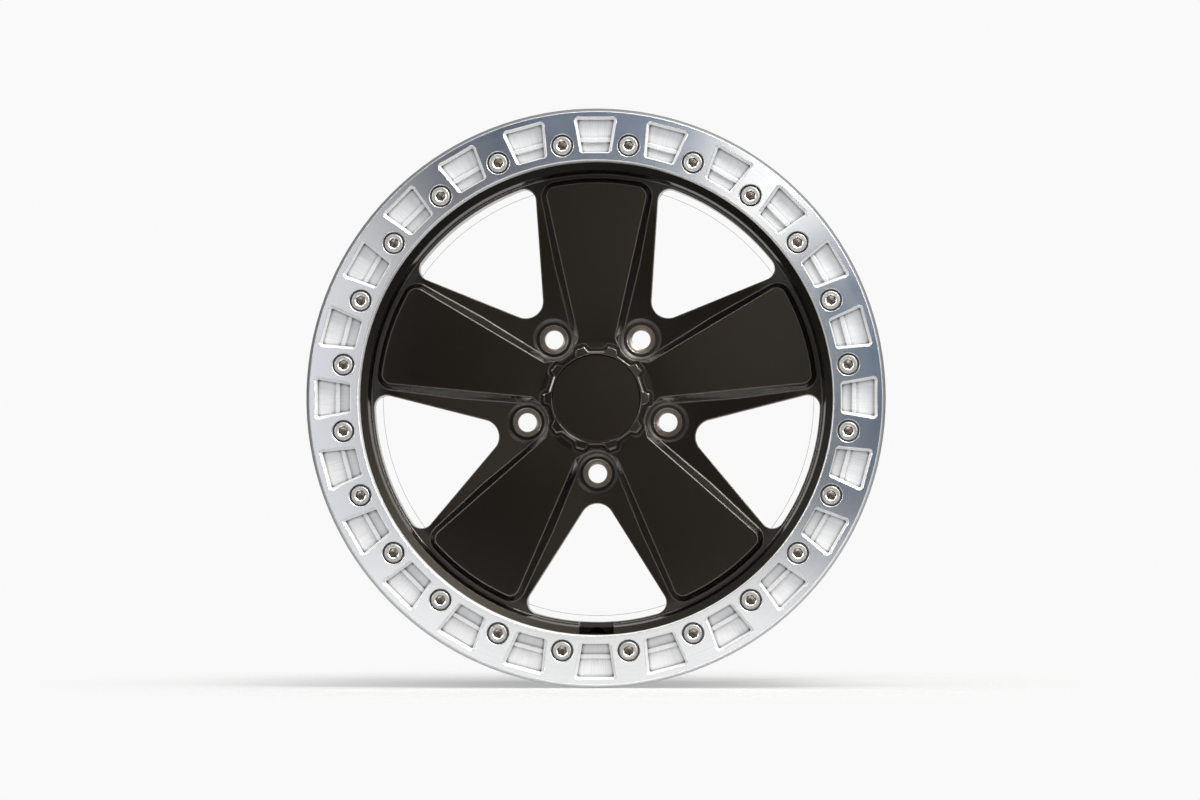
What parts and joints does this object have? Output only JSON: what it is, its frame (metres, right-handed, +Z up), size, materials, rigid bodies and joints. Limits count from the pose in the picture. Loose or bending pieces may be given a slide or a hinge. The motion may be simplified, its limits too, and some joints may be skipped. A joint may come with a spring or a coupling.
{
  "type": "beadlock wheel",
  "caption": "Forged off-road car wheel with paddle spokes, a pocketed clamp ring screwed on the front, lug bushes and a lobed lock ring round a plain cap.",
  "frame": {"origin": "wheel centre: on the spin axis, halfway between the ring face and the inboard flange", "axes": "+Y along the spin axis towards the car, so the outboard face looks along -Y; +Z up, with the valve pocket at the bottom; +X to the right seen from outboard"},
  "size_m": [0.5029, 0.244, 0.503],
  "materials": {
    "satin_black": "satin black coat with a brushed tint",
    "polished_ring": "polished face, milled pockets",
    "screw_steel": "plain stainless",
    "insert_steel": "plain stainless",
    "seat_steel": "turned steel, warm grey",
    "gloss_black": "gloss black",
    "cap_black": "semi-gloss black",
    "spring_steel": "drawn wire"
  },
  "bodies": {
    "root": {"wheel_forging": "satin_black", "beadlock_ring": "polished_ring", "ring_screws": "screw_steel", "thread_inserts": "insert_steel", "lug_seat_1": "seat_steel", "lug_seat_2": "seat_steel", "lug_seat_3": "seat_steel", "lug_seat_4": "seat_steel", "lug_seat_5": "seat_steel", "lock_ring": "gloss_black", "centre_cap": "cap_black", "cap_spring": "spring_steel"}
  },
  "joints": []
}
